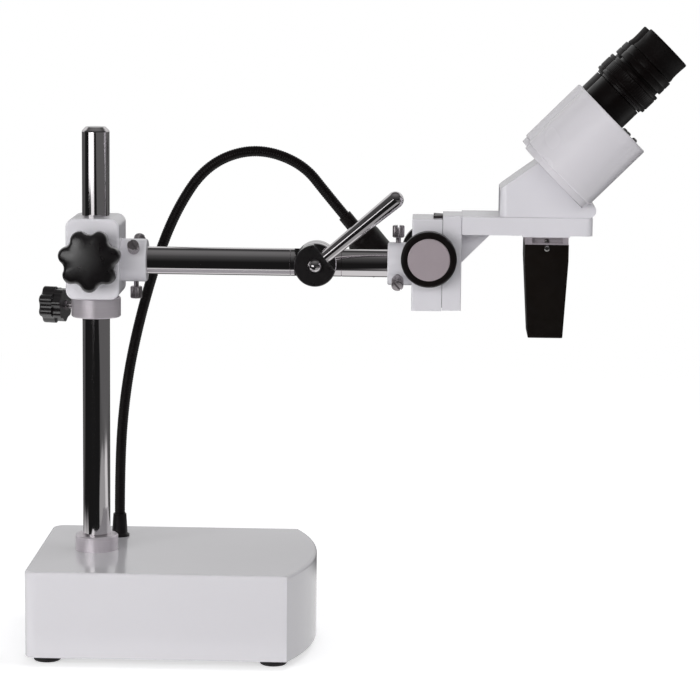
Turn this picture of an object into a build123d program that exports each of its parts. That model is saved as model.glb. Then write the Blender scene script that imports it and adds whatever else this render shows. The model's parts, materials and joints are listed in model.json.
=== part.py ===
from build123d import *
import os
from math import acos, cos, pi, radians, sin, tan

# Stereo microscope on a boom stand, in millimetres. While it is built, X runs along the boom from
# the column towards the eyepieces, Y runs away from the side with the large clamp knob, and Z is up
# from the table. At the end everything moves along X so that the origin is under the middle of the
# whole instrument. Left is the -Y side and right the +Y side, as the user sees them.

# --- stand ---
BAR_R = 11.0                 # column and both boom tubes
FIT = 0.08                   # radial running clearance of a bar in its socket
BASE_X0 = -47.0              # left end of the base; the column stands at X = Y = 0
BASE_LENGTH = 206.5          # straight length of the base, without the bowed end
BASE_BOW = 19.0              # how far the right end bulges
BASE_DEPTH = 180.0
BASE_CORNER_R = 10.0
BASE_BOTTOM = 6.5
BASE_TOP = 75.0
SHEET = 2.0                  # steel sheet of the base
PLATE_THICK = 14.0           # heavy bottom plate that keeps the stand from tipping
FOOT_R = 11.0
FEET = [(x, y) for x in (-31.0, 148.0) for y in (-70.0, 70.0)]
COLUMN_TOP = 417.0
RING_R, RING_HEIGHT = 17.2, 12.3
COLUMN_BOLT_R = 5.0
SWITCH_Y, INLET_Y, CONTROL_Z = -62.0, 30.0, 44.0  # both on the base's left end

# --- collar and carriage on the column ---
COLLAR_R, COLLAR_Z0, COLLAR_Z1 = 19.75, 265.3, 281.2
COLLAR_KNOB_ANGLE = 165.0    # direction of the collar's knob in plan
CARRIAGE_Z0, CARRIAGE_Z1 = 281.6, 346.0
CARRIAGE_HALF_X, CARRIAGE_HALF_Y = 21.2, 26.0
CLAMP_Z = 314.8              # axis of the large clamp knob
CLAMP_KNOB_R = 25.0
CLAMP_STUD_R = 4.0
SCREW_PLAY = 0.1             # radial gap of a screw in its plain hole

# --- boom ---
BOOM_Z = 311.0
SOCKET_R = 17.1
BOOM_WALL = 2.5
SOCKET_END = 41.3
KNUCKLE_X, KNUCKLE_R, KNUCKLE_HALF = 176.2, 16.6, 12.5
LEVER_ANGLE, LEVER_TIP = 40.0, 88.5
THUMB_HEAD_R, THUMB_STEM_R = 4.75, 2.0
THUMB_TIP, THUMB_HEAD0, THUMB_TOP = 11.2, 21.0, 30.6   # distances from the boom's axis
LEFT_THUMBS_X, RIGHT_THUMBS_X = 32.3, 241.5

# --- focus unit ---
FOCUS_SOCKET_X0, FOCUS_X0, FOCUS_X1 = 233.2, 252.5, 276.4
FOCUS_Z0, FOCUS_Z1, FOCUS_HALF_Y = 276.0, 348.8, 21.0
SLIDE_X0, SLIDE_X1, SLIDE_Z1 = 276.7, 291.7, 351.3
PINION_X, PINION_Z = 266.0, 318.4
MODULE, TEETH = 0.8, 12
PITCH_R = MODULE * TEETH / 2
ADDENDUM, DEDENDUM = 0.8 * MODULE, 1.2 * MODULE
BACKLASH = 0.16
TONGUE_X0 = 269.3
SHAFT_R, PINION_HALF = 3.0, 4.0
RACK_HALF = 4.3
BUSH_R = 6.0

# --- head ---
BRACKET_X1, BRACKET_Z0, BRACKET_Z1, BRACKET_HALF_Y = 394.2, 337.5, 351.8, 27.0
OBJECTIVE_X, BEAM_Y, BEAM_R = 358.5, 11.0, 8.0
HOUSING_Z0, HOUSING_Z1 = 256.0, 330.5
DRUM_R, DRUM_LENGTH, DRUM_Y = 34.0, 59.5, 35.5
SPIGOT_R = 14.0              # short ring on which each drum turns in the carrier
CARRIER_R = 18.0             # rounded ends of the carrier, in the drums' shadow
EYE_OUT, EYE_IN = 11.0, 3.5  # the eyepiece sits this far off the drum's axis, up and inwards
EYE_Y = DRUM_Y - EYE_IN

# --- lamp ---
LAMP_FOOT = (13.0, 50.0)
LAMP_YAW = 3.4
NECK_R = 4.3
LAMP_TILT = 50.0             # the lamp head points this far below level
# the gooseneck's route in its own upright plane: distance from its foot, height
NECK_ROUTE = [(0, 77.5), (0, 132), (3.5, 187), (12.5, 240), (28.5, 300), (46.5, 347),
              (71.5, 384), (109.5, 398), (148.5, 386), (171, 358), (189.5, 336)]

# the head's own frame: origin at the drums' lower ends, X along +Y, Y up and back, Z along the drums
HEAD = Plane(origin=(366.2, 0, 387.5), x_dir=(0, 1, 0), z_dir=(1, 0, 1))

parts = {}


def box_between(x0, x1, y0, y1, z0, z1):
    return Pos((x0 + x1) / 2, (y0 + y1) / 2, (z0 + z1) / 2) * Box(x1 - x0, y1 - y0, z1 - z0)


def upright(x, y, z0, z1, r):
    return Pos(x, y, (z0 + z1) / 2) * Cylinder(r, z1 - z0)


def along_x(x0, x1, y, z, r):
    return Pos((x0 + x1) / 2, y, z) * Rot(0, 90, 0) * Cylinder(r, x1 - x0)


def along_y(y0, y1, x, z, r):
    return Pos(x, (y0 + y1) / 2, z) * Rot(90, 0, 0) * Cylinder(r, y1 - y0)


def turned(profile):
    """A solid of revolution about Z from (radius, height) corners."""
    return revolve(make_face(Plane.XZ * Polyline(*profile, close=True)), Axis.Z)


def prism_xz(corners, y0, y1):
    """An upright profile in X and Z, thick along Y."""
    face = make_face(Plane.XZ * Polyline(*corners, close=True))
    return extrude(face, amount=y1 - y0, dir=(0, 1, 0)).moved(Location((0, y0, 0)))


def star(radius, valley, lobes, height):
    """A knob head of round lobes joined by tangent hollows, standing on Z = 0."""
    lobe_r = 0.28 * radius
    lobe_d = radius - lobe_r
    c = cos(pi / lobes)
    hollow_r = ((lobe_d ** 2 + valley ** 2 - 2 * lobe_d * valley * c - lobe_r ** 2)
                / (2 * lobe_r + 2 * lobe_d * c - 2 * valley))
    hollow_d = valley + hollow_r

    def polar(r, angle):
        return Vector(r * cos(angle), r * sin(angle))
    rim = []
    for i in range(lobes):
        mid = 2 * pi * i / lobes
        lobe, before, after = (polar(lobe_d, mid), polar(hollow_d, mid - pi / lobes),
                               polar(hollow_d, mid + pi / lobes))
        joins = [lobe + (other - lobe).normalized() * lobe_r for other in (before, after)]
        next_join = joins[0].rotate(Axis.Z, 360 / lobes)
        rim.append(ThreePointArc(joins[0], polar(radius, mid), joins[1]))
        rim.append(ThreePointArc(joins[1], polar(valley, mid + pi / lobes), next_join))
    return extrude(make_face(rim), amount=height)


def edges_at(solid, axis, value):
    return [e for e in solid.edges() if abs(getattr(e.center(), axis) - value) < 0.01]


# ---------------------------------------------------------------- base

def base_outline(inset):
    x0, x1 = BASE_X0 + inset, BASE_X0 + BASE_LENGTH - inset
    y = BASE_DEPTH / 2 - inset
    bow = ThreePointArc((x1, -y), (x1 + BASE_BOW, 0), (x1, y))
    rest = Polyline((x1, y), (x0, y), (x0, -y), (x1, -y))
    face = make_face([bow, rest])
    return fillet(face.vertices().sort_by(Axis.X)[:2], BASE_CORNER_R - inset)


def make_base():
    shell = extrude(base_outline(0), amount=BASE_TOP - BASE_BOTTOM)
    shell = fillet(shell.faces().sort_by(Axis.Z)[-1].edges(), 2.4)
    shell -= extrude(base_outline(SHEET), amount=BASE_TOP - BASE_BOTTOM - SHEET)
    shell = Pos(0, 0, BASE_BOTTOM) * shell
    shell -= upright(0, 0, 60, 80, COLUMN_BOLT_R + 0.3)
    shell -= upright(*LAMP_FOOT, 60, 80, 4.1)
    shell -= along_x(BASE_X0 - 1, BASE_X0 + 4, SWITCH_Y, CONTROL_Z, 3.0)
    shell -= along_x(BASE_X0 - 1, BASE_X0 + 4, INLET_Y, CONTROL_Z, 5.0)
    parts["base_shell"] = shell

    plate = extrude(base_outline(SHEET + 0.3), amount=PLATE_THICK)
    plate = Pos(0, 0, BASE_BOTTOM) * plate
    feet, screws = [], []
    for x, y in FEET:
        plate -= upright(x, y, 0, BASE_BOTTOM + PLATE_THICK + 1, 2.05)
        foot = Pos(x, y, BASE_BOTTOM / 2) * Cylinder(FOOT_R, BASE_BOTTOM)
        foot = fillet(foot.edges().group_by(Axis.Z)[0], 2.2)
        foot -= upright(x, y, -1, 3, 4.6)
        foot -= upright(x, y, 0, 8, 2.2)
        feet.append(foot)
        screws.append(upright(x, y, 1, 3, 3.9) + upright(x, y, 3, BASE_BOTTOM + 6, 2.0))
    bolt = upright(0, 0, 69.5, 96, COLUMN_BOLT_R) + upright(0, 0, BASE_TOP - SHEET - 2, BASE_TOP - SHEET, 12)
    hexagon = extrude(RegularPolygon(9.2, 6), amount=6.4)
    bolt += Pos(0, 0, BASE_TOP - SHEET - 8.4) * hexagon
    parts["base_plate"] = plate
    parts["rubber_feet"] = Compound(children=feet)
    parts["base_screws"] = Compound(children=screws + [bolt])

    ring = upright(0, 0, BASE_TOP, BASE_TOP + RING_HEIGHT, RING_R)
    ring = chamfer(ring.edges().group_by(Axis.Z)[-1], 1.0)
    parts["foot_ring"] = ring - upright(0, 0, 60, 100, BAR_R + 0.05)


def make_electrics():
    z = BASE_BOTTOM + PLATE_THICK
    board = box_between(40, 96, 14, 54, z + 6, z + 7.6)
    for x in (44, 92):
        for y in (18, 50):
            board += upright(x, y, z, z + 6, 3)
    board += upright(58, 28, z + 7.6, z + 19, 6)             # coil
    board += upright(76, 26, z + 7.6, z + 20, 4)             # capacitor
    board += box_between(66, 80, 38, 48, z + 7.6, z + 10)    # controller
    board += box_between(86, 95, 24, 42, z + 7.6, z + 16)    # terminals
    parts["driver_board"] = board

    x = BASE_X0 + SHEET
    jack = along_x(x - SHEET - 0.9, x - SHEET, INLET_Y, CONTROL_Z, 6.5)
    jack += along_x(x - SHEET, x + 10, INLET_Y, CONTROL_Z, 4.9)
    jack -= along_x(x - 4, x + 8, INLET_Y, CONTROL_Z, 2.8)
    jack += along_x(x, x + 9, INLET_Y, CONTROL_Z, 1.0)
    parts["power_inlet"] = jack

    switch = along_x(x - SHEET - 0.5, x - SHEET, SWITCH_Y, CONTROL_Z, 3.7)
    switch += along_x(x - SHEET, x, SWITCH_Y, CONTROL_Z, 2.95)
    switch += box_between(x, x + 12, SWITCH_Y - 5, SWITCH_Y + 5, CONTROL_Z - 5, CONTROL_Z + 5)
    switch -= along_x(x - 5, x + 8, SWITCH_Y, CONTROL_Z, 2.45)
    parts["switch_housing"] = switch
    button = along_x(x - SHEET - 2.4, x + 5, SWITCH_Y, CONTROL_Z, 2.35)
    parts["power_button"] = fillet(button.edges().sort_by(Axis.X)[:1], 0.6)


def make_column():
    bar = upright(0, 0, BASE_TOP + 0.05, COLUMN_TOP, BAR_R)
    bar = chamfer(bar.edges().group_by(Axis.Z)[-1], 3.0)
    bar = fillet(edges_at(bar, "Z", COLUMN_TOP - 3.0), 2.0)
    parts["column"] = bar - upright(0, 0, 70, BASE_TOP + 24, COLUMN_BOLT_R + SCREW_PLAY)


# ---------------------------------------------------------------- collar and carriage

def radial(angle, z):
    """Place a piece built along +Z so that it points outwards from the column."""
    return Pos(0, 0, z) * Rot(0, 0, angle) * Rot(0, 90, 0)


def make_stop_collar():
    z = (COLLAR_Z0 + COLLAR_Z1) / 2
    out = radial(COLLAR_KNOB_ANGLE, z)
    ring = upright(0, 0, COLLAR_Z0, COLLAR_Z1, COLLAR_R)
    ring = chamfer(ring.edges().group_by(Axis.Z)[0] + ring.edges().group_by(Axis.Z)[-1], 0.8)
    ring -= upright(0, 0, COLLAR_Z0 - 1, COLLAR_Z1 + 1, BAR_R + FIT)
    ring -= out * (Pos(0, 0, 15) * Cylinder(3.1, 14))
    parts["stop_collar"] = ring

    screw = turned([(0, 11.2), (2, 11.2), (3, 12.4), (3, 25), (4, 25), (4, 28.4), (0, 28.4)])
    parts["collar_screw"] = out * screw
    skirt = Pos(0, 0, 26.4) * star(13.6, 11.8, 7, 7.0)
    head = Pos(0, 0, 33.4) * Rot(0, 0, 12) * star(15.0, 12.6, 7, 10.8)
    head = fillet(head.faces().sort_by(Axis.Z)[-1].edges(), 1.6)
    knob = head + skirt - Pos(0, 0, 25) * Cylinder(4, 6.8)
    parts["collar_knob"] = out * knob


def make_carriage():
    block = box_between(-CARRIAGE_HALF_X, CARRIAGE_HALF_X, -CARRIAGE_HALF_Y, CARRIAGE_HALF_Y,
                        CARRIAGE_Z0, CARRIAGE_Z1)
    block = fillet(block.edges().filter_by(Axis.Y), 7.0)
    block = fillet(block.edges().group_by(Axis.Y)[0] + block.edges().group_by(Axis.Y)[-1], 2.0)
    socket = along_x(10, SOCKET_END, 0, BOOM_Z, SOCKET_R)
    socket = chamfer(socket.edges().sort_by(Axis.X)[-1:], 0.9)
    block += socket
    block -= upright(0, 0, CARRIAGE_Z0 - 5, CARRIAGE_Z1 + 5, BAR_R + FIT)
    block -= along_x(13.2, SOCKET_END + 1, 0, BOOM_Z, BAR_R + FIT)
    block -= along_y(-CARRIAGE_HALF_Y - 2, -BAR_R + 1, 0, CLAMP_Z, CLAMP_STUD_R + SCREW_PLAY)
    for angle in LEFT_THUMB_ANGLES.values():
        block -= thumb_place(LEFT_THUMBS_X, angle) * thumb_hole()
    parts["carriage_block"] = block

    grip = star(CLAMP_KNOB_R, 20.6, 7, 14.5)
    grip = fillet(grip.faces().sort_by(Axis.Z)[-1].edges(), 3.4)
    grip = fillet(grip.faces().sort_by(Axis.Z)[0].edges(), 1.2)
    hub = turned([(0, -8), (11, -8), (13, 0), (13, 1), (0, 1)])
    stud = Pos(0, 0, -16.5) * Cylinder(CLAMP_STUD_R, 18.2)
    knob = Rot(0, 0, 13) * grip + hub + stud
    parts["carriage_knob"] = Pos(0, -36.8, CLAMP_Z) * Rot(90, 0, 0) * knob


# ---------------------------------------------------------------- thumbscrews

# directions of the screws around the boom, from +Y towards +Z
LEFT_THUMB_ANGLES = {"bottom": 270, "left": 150, "right": 30}
RIGHT_THUMB_ANGLES = {"top": 90, "left": 210, "right": 330}


def thumb_place(x, angle):
    return Pos(x, 0, BOOM_Z) * Rot(angle - 90, 0, 0)


def thumb_hole():
    return upright(0, 0, BAR_R - 3, SOCKET_R + 5, THUMB_STEM_R + SCREW_PLAY)


def thumbscrew():
    head = upright(0, 0, THUMB_HEAD0, THUMB_TOP, THUMB_HEAD_R)
    head = chamfer(head.edges().group_by(Axis.Z)[0] + head.edges().group_by(Axis.Z)[-1], 0.6)
    head -= box_between(-6, 6, -0.75, 0.75, THUMB_TOP - 2.6, THUMB_TOP + 1)
    return head + upright(0, 0, THUMB_TIP, THUMB_HEAD0 + 0.4, THUMB_STEM_R)


def make_thumbscrews():
    for prefix, x, angles in (("boom", LEFT_THUMBS_X, LEFT_THUMB_ANGLES),
                              ("head", RIGHT_THUMBS_X, RIGHT_THUMB_ANGLES)):
        for side, angle in angles.items():
            parts[f"{prefix}_screw_{side}"] = thumb_place(x, angle) * thumbscrew()


# ---------------------------------------------------------------- boom and knuckle

def boom_tube(x0, x1):
    tube = along_x(x0, x1, 0, BOOM_Z, BAR_R) - along_x(x0 - 1, x1 + 1, 0, BOOM_Z, BAR_R - BOOM_WALL)
    return chamfer(edges_at(tube, "X", x0) + edges_at(tube, "X", x1), 0.5)


def knuckle_half(side, tube_x):
    """Half of the knuckle; side is +1 for the right (+Y) half, whose tube lies towards -X."""
    toward = -side
    lap = 0.15
    inner, outer = (lap, KNUCKLE_HALF) if side > 0 else (-KNUCKLE_HALF, -lap)
    disc = along_y(inner, outer, KNUCKLE_X, BOOM_Z, KNUCKLE_R)
    disc = chamfer(edges_at(disc, "Y", inner) + edges_at(disc, "Y", outer), 0.6)
    neck_end = KNUCKLE_X + toward * (KNUCKLE_R + 0.5)
    flange = along_x(min(tube_x, neck_end), max(tube_x, neck_end), 0, BOOM_Z, BAR_R)
    bridge = along_x(min(tube_x, KNUCKLE_X), max(tube_x, KNUCKLE_X), 0, BOOM_Z, BAR_R)
    bridge &= box_between(100, 260, inner, outer, BOOM_Z - 20, BOOM_Z + 20)
    plug_end = tube_x + toward * 14
    plug = along_x(min(tube_x, plug_end), max(tube_x, plug_end), 0, BOOM_Z, BAR_R - BOOM_WALL)
    half = disc + flange + bridge + plug
    return half - along_y(-20, 20, KNUCKLE_X, BOOM_Z, 4.1)


def make_boom():
    left_end, right_end = KNUCKLE_X - KNUCKLE_R - 3.5, KNUCKLE_X + KNUCKLE_R + 3.5
    parts["inner_boom"] = boom_tube(13.6, left_end)
    parts["inner_knuckle"] = knuckle_half(1, left_end)
    parts["outer_boom"] = boom_tube(right_end, FOCUS_X0 - 2)
    parts["outer_knuckle"] = knuckle_half(-1, right_end)

    bolt = turned([(0, -17), (7, -17), (7.6, -16.4), (7.6, -12.7), (4, -12.7), (4, 24.9),
                   (5.8, 24.9), (5.8, 26.3), (0, 26.3)])
    dome = Pos(0, 0, 25.3) * Sphere(5.4) & Pos(0, 0, 32.3) * Box(20, 20, 12)
    parts["knuckle_bolt"] = Pos(KNUCKLE_X, 0, BOOM_Z) * Rot(90, 0, 0) * (bolt + dome)


def make_lever():
    flat, stud_depth, mid_y = 9.5, 4.5, -18.7
    hub = Pos(0, 0, mid_y) * Cylinder(KNUCKLE_R, 11.8)
    hub -= Pos(flat + 10, 0, mid_y) * Box(20, 60, 20)
    hub = chamfer(hub.edges().group_by(Axis.Z)[0] + hub.edges().group_by(Axis.Z)[-1], 0.7)
    hub -= Cylinder(4.15, 80)
    stud = Pos(flat - stud_depth, 0, mid_y) * Rot(0, 90, 0)
    hub -= stud * Pos(0, 0, stud_depth / 2) * Cylinder(3.0, stud_depth)
    tip_r, root_r = 6.7, 4.75
    length = LEVER_TIP - flat - tip_r
    rod = Pos(0, 0, length / 2) * Cone(root_r, tip_r, length) + Pos(0, 0, length) * Sphere(tip_r)
    rod += Pos(0, 0, -stud_depth / 2) * Cylinder(3.0, stud_depth)
    rod = Pos(flat, 0, mid_y) * Rot(0, 90, 0) * rod
    # the lever is drawn in plan, then stood up so that it faces -Y
    stand = Pos(KNUCKLE_X, 0, BOOM_Z) * Rot(0, -LEVER_ANGLE, 0) * Rot(-90, 0, 0)
    parts["lever_hub"] = stand * hub
    parts["lever_rod"] = stand * rod


# ---------------------------------------------------------------- focus unit

def involute(angle):
    return tan(angle) - angle


def pinion_profile():
    """Involute teeth; a tooth points along +X."""
    root, tip = PITCH_R - DEDENDUM, PITCH_R + ADDENDUM
    base = PITCH_R * cos(radians(20))
    half = pi / (2 * TEETH) - BACKLASH / (2 * PITCH_R) + involute(radians(20))
    flank = [(root, half)]
    for step in range(5):
        r = base + (tip - base) * step / 4
        flank.append((r, half - involute(acos(min(1.0, base / r)))))
    points = []
    for tooth in range(TEETH):
        mid = 2 * pi * tooth / TEETH
        for r, a in flank:
            points.append((r * cos(mid - a), r * sin(mid - a)))
        for r, a in reversed(flank):
            points.append((r * cos(mid + a), r * sin(mid + a)))
    return make_face(Polyline(*points, close=True))


def make_pinion():
    shaft = Cylinder(SHAFT_R, 72) + extrude(pinion_profile(), amount=PINION_HALF, both=True)
    parts["pinion_shaft"] = Pos(PINION_X, 0, PINION_Z) * Rot(90, 0, 0) * shaft
    knobs, caps, bushes = [], [], []
    bore = SHAFT_R + 0.05
    for side in (-1, 1):
        place = Pos(PINION_X, 0, PINION_Z) * Rot(90 * -side, 0, 0)
        knob = turned([(bore, FOCUS_HALF_Y + 0.6), (9, FOCUS_HALF_Y + 0.6), (10, 24.5), (20.5, 24.5),
                       (22, 26), (22, 36.5), (20.6, 38), (16.8, 38), (16.8, 36.8), (bore, 36.8)])
        knobs.append(place * knob)
        cap = turned([(0, 36.8), (16.6, 36.8), (16.6, 37.9), (16.0, 38.3), (0, 38.3)])
        caps.append(place * cap)
        bush = turned([(bore, 13.4), (BUSH_R, 13.4), (BUSH_R, FOCUS_HALF_Y), (bore, FOCUS_HALF_Y)])
        bushes.append(place * bush)
    parts["focus_knobs"] = Compound(children=knobs)
    parts["knob_caps"] = Compound(children=caps)
    parts["pinion_bushings"] = Compound(children=bushes)


def tongue_profile(clearance):
    """The dovetail in plan, wider inside the fixed block."""
    wide, narrow, c = 12.5, 8.0, clearance
    corners = [(TONGUE_X0 - c, -wide - c), (TONGUE_X0 - c, wide + c),
               (SLIDE_X0, narrow + 1.4 * c), (SLIDE_X0, -narrow - 1.4 * c)]
    return make_face(Polyline(*corners, close=True))


def make_focus_block():
    block = box_between(FOCUS_X0, FOCUS_X1, -FOCUS_HALF_Y, FOCUS_HALF_Y, FOCUS_Z0, FOCUS_Z1)
    block = fillet(block.edges().filter_by(Axis.Z).sort_by(Axis.X)[:2], 1.5)
    socket = along_x(FOCUS_SOCKET_X0, FOCUS_X0 + 4, 0, BOOM_Z, SOCKET_R)
    socket = chamfer(socket.edges().sort_by(Axis.X)[:1], 0.9)
    block += socket
    block -= along_x(FOCUS_SOCKET_X0 - 1, FOCUS_X0 - 1.5, 0, BOOM_Z, BAR_R + FIT)
    block -= Pos(0, 0, FOCUS_Z0 - 1) * extrude(tongue_profile(0.15), amount=FOCUS_Z1 - FOCUS_Z0 + 2)
    block -= along_y(-30, 30, PINION_X, PINION_Z, BUSH_R)
    for angle in RIGHT_THUMB_ANGLES.values():
        block -= thumb_place(RIGHT_THUMBS_X, angle) * thumb_hole()
    parts["focus_block"] = block


def make_slide():
    block = box_between(SLIDE_X0, SLIDE_X1, -FOCUS_HALF_Y, FOCUS_HALF_Y, FOCUS_Z0 + 0.5, SLIDE_Z1)
    parts["slide_block"] = fillet(block.edges().filter_by(Axis.Z).sort_by(Axis.X)[2:], 1.0)

    z0, z1 = FOCUS_Z0 + 1, SLIDE_Z1 - 0.5
    pitch_x, pitch = PINION_X + PITCH_R, pi * MODULE
    tongue = Pos(0, 0, z0) * extrude(tongue_profile(0), amount=z1 - z0)
    tongue -= box_between(TONGUE_X0 - 1, pitch_x - ADDENDUM, -RACK_HALF, RACK_HALF, z0 - 1, z1 + 1)
    slope = tan(radians(20))
    root_half = pitch / 4 - DEDENDUM * slope
    mouth_half = pitch / 4 + (ADDENDUM + 1) * slope
    for i in range(-17, 14):
        z = PINION_Z + i * pitch
        if z0 + mouth_half < z < z1 - mouth_half:
            gap = [(pitch_x - ADDENDUM - 1, z - mouth_half), (pitch_x + DEDENDUM, z - root_half),
                   (pitch_x + DEDENDUM, z + root_half), (pitch_x - ADDENDUM - 1, z + mouth_half)]
            tongue -= prism_xz(gap, -RACK_HALF, RACK_HALF)
    parts["rack_slide"] = tongue

    plate = box_between(SLIDE_X1, BRACKET_X1, -BRACKET_HALF_Y, BRACKET_HALF_Y, BRACKET_Z0, BRACKET_Z1)
    plate = fillet(plate.edges().filter_by(Axis.Z).sort_by(Axis.X)[2:], 5.0)
    plate = fillet(plate.faces().sort_by(Axis.Z)[-1].edges().sort_by(Axis.X)[1:], 0.8)
    plate += prism_xz([(SLIDE_X1, BRACKET_Z0 + 1), (SLIDE_X1, 313.0), (317.0, BRACKET_Z0 + 1)], -5, 5)
    plate += box_between(OBJECTIVE_X - 19.3, OBJECTIVE_X + 17.8, -BRACKET_HALF_Y, BRACKET_HALF_Y,
                         BRACKET_Z0 - 1.2, BRACKET_Z0 + 1)
    for side in (-1, 1):
        plate -= upright(OBJECTIVE_X, side * BEAM_Y, BRACKET_Z0 - 5, BRACKET_Z1 + 5, BEAM_R)
    parts["head_bracket"] = plate


# ---------------------------------------------------------------- objective

def housing_block(inset):
    """The tapered housing: straight at the top, narrowing towards its lower end."""
    def section(z, half_x, half_y):
        return Pos(OBJECTIVE_X, 0, z) * Rectangle(2 * (half_x - inset), 2 * (half_y - inset))
    knee = HOUSING_Z1 - 13
    top = section(HOUSING_Z1, 17.2, 27)
    taper = loft([section(knee, 17.2, 27), section(HOUSING_Z0 + inset, 13.7, 23.5)])
    return extrude(top, amount=-(HOUSING_Z1 - knee)) + taper


def make_objective():
    z1 = BRACKET_Z0 - 1.2
    mount = box_between(OBJECTIVE_X - 17.1, OBJECTIVE_X + 16.9, -26.6, 26.6, HOUSING_Z1, z1)
    for side in (-1, 1):
        mount -= box_between(OBJECTIVE_X - 11.5, OBJECTIVE_X + 12.5, side * 27 - 4.5, side * 27 + 4.5,
                             HOUSING_Z1 + 1.2, z1 - 0.6)
    for side in (-1, 1):
        mount += upright(OBJECTIVE_X, side * BEAM_Y, HOUSING_Z0 + 2.2, z1, 9.4)
        mount -= upright(OBJECTIVE_X, side * BEAM_Y, HOUSING_Z0, z1 + 1, BEAM_R)
    for side in (-1, 1):
        mount += box_between(OBJECTIVE_X - 5, OBJECTIVE_X + 5, side * 24.8 - 1.6 - side * 2,
                             side * 24.8 + 1.6 - side * 2, HOUSING_Z1 - 6, HOUSING_Z1 + 1)
        mount -= along_y(side * 22.8 - 3, side * 22.8 + 3, OBJECTIVE_X, HOUSING_Z1 - 2.8, 1.25)
    parts["objective_mount"] = mount

    housing = housing_block(0)
    housing = fillet(housing.edges().sort_by(Axis.Z)[:4], 1.2)
    housing -= housing_block(2.0)
    for side in (-1, 1):
        housing -= upright(OBJECTIVE_X, side * BEAM_Y, HOUSING_Z0 - 1, HOUSING_Z0 + 3, BEAM_R + 0.2)
        housing -= along_y(side * 26 - 2, side * 26 + 2, OBJECTIVE_X, HOUSING_Z1 - 2.8, 1.3)
    parts["objective_housing"] = housing

    screws, lenses = [], []
    for side in (-1, 1):
        screw = turned([(0, 21.5), (1.2, 21.5), (1.2, 27.05), (2.3, 27.05), (2.3, 27.8), (1.4, 28.6),
                        (0, 28.6)])
        screws.append(Pos(OBJECTIVE_X, 0, HOUSING_Z1 - 2.8) * Rot(90 * -side, 0, 0) * screw)
        blank = upright(OBJECTIVE_X, side * BEAM_Y, HOUSING_Z0 + 3, HOUSING_Z0 + 9, BEAM_R - 0.05)
        bulge = Pos(OBJECTIVE_X, side * BEAM_Y, HOUSING_Z0 + 28.5) * Sphere(25)
        lenses.append(blank & bulge)
    parts["objective_screws"] = Compound(children=screws)
    parts["objective_lenses"] = Compound(children=lenses)


# ---------------------------------------------------------------- head body and drums

def make_head_body():
    x0, top = 321.0, 373.5
    face = 745.0               # X + Z on the inclined face that carries the drums
    corners = [(x0, BRACKET_Z1), (x0, top), (350.3, face - 350.3), (391.5, face - 391.5),
               (391.5, BRACKET_Z1)]
    body = prism_xz(corners, -26, 26)
    body = fillet(body.edges().filter_by(Axis.Z).sort_by(Axis.X)[:2], 6.0)
    body += along_y(-26, 26, 390.8, 357.5, 5.7)
    cavity = [(x0 + 5, BRACKET_Z1 - 1), (x0 + 5, top - 2), (350.5, face - 356), (386, face - 391.5),
              (386, BRACKET_Z1 - 1)]
    body -= prism_xz(cavity, -21, 21)
    for side in (-1, 1):
        body -= HEAD * Pos(side * BEAM_Y, 0, -6) * Cylinder(BEAM_R, 12)
    parts["prism_body"] = body

    carrier = Pos(0, 0, -2.9) * Box(2 * DRUM_Y, 2 * CARRIER_R, 4.8)
    for side in (-1, 1):
        carrier += Pos(side * DRUM_Y, 0, -2.9) * Cylinder(CARRIER_R, 4.8)
    carrier -= Pos(0, 0, -2.9) * Box(2 * DRUM_Y, 14, 2.8)    # the beams' way out to the drums
    for side in (-1, 1):
        carrier -= Pos(side * DRUM_Y, 0, -1.9) * Cylinder(SPIGOT_R + 0.06, 3.2)
        carrier -= Pos(side * BEAM_Y, 0, -4.8) * Cylinder(7, 3)
    parts["drum_carrier"] = HEAD * carrier


def make_drum(name, side):
    """One prism drum with its eye tube and eyepiece; side is -1 for the left."""
    axis = HEAD * Pos(side * DRUM_Y, 0, 0)
    eye = HEAD * Pos(side * EYE_Y, EYE_OUT, DRUM_LENGTH)

    drum = Pos(0, 0, DRUM_LENGTH / 2) * Cylinder(DRUM_R, DRUM_LENGTH)
    drum = fillet(drum.edges().group_by(Axis.Z)[0] + drum.edges().group_by(Axis.Z)[-1], 1.4)
    drum -= Pos(0, 0, DRUM_LENGTH / 2) * Cylinder(DRUM_R - 2.5, DRUM_LENGTH - 6)
    drum += Pos(0, 0, -1.0) * Cylinder(SPIGOT_R, 4.2)
    drum -= Cylinder(10, 12)
    drum -= Pos(-side * EYE_IN, EYE_OUT, DRUM_LENGTH) * Cylinder(17, 10)
    parts[f"{name}_drum"] = axis * drum

    tube = turned([(15.06, -5), (16.9, -5), (16.9, 0.1), (20, 0.1), (20, 16.8), (17.5, 17.2),
                   (17.5, 36.0), (15.06, 36.0)])
    parts[f"{name}_eye_tube"] = eye * tube
    ring = turned([(17.58, 17.4), (22, 17.4), (22.5, 17.9), (22.5, 35.2), (22, 35.7), (17.58, 35.7)])
    parts[f"{name}_diopter_ring"] = eye * ring

    barrel = turned([(12.05, 6), (15.0, 6), (15.0, 38.8), (21.3, 38.8), (21.8, 39.3), (21.8, 44),
                     (20.3, 44.8), (20.3, 50.3), (17.6, 50.3), (17.6, 56), (12.05, 56)])
    barrel -= Pos(0, 0, 56) * Cylinder(13.5, 8.4)
    parts[f"{name}_eyepiece"] = eye * barrel
    cup = turned([(17.6, 50.5), (20.1, 50.5), (20.1, 67), (19.4, 69), (17.4, 69), (15.0, 56.2),
                  (17.6, 56.2)])
    parts[f"{name}_eyecup"] = eye * cup
    lens = Pos(0, 0, 54.3) * Cylinder(13.4, 4.6) & Pos(0, 0, 32.2) * Sphere(24)
    parts[f"{name}_eye_lens"] = eye * lens

    parts[f"{name}_prisms"] = axis * Compound(children=porro_pair())


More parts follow.
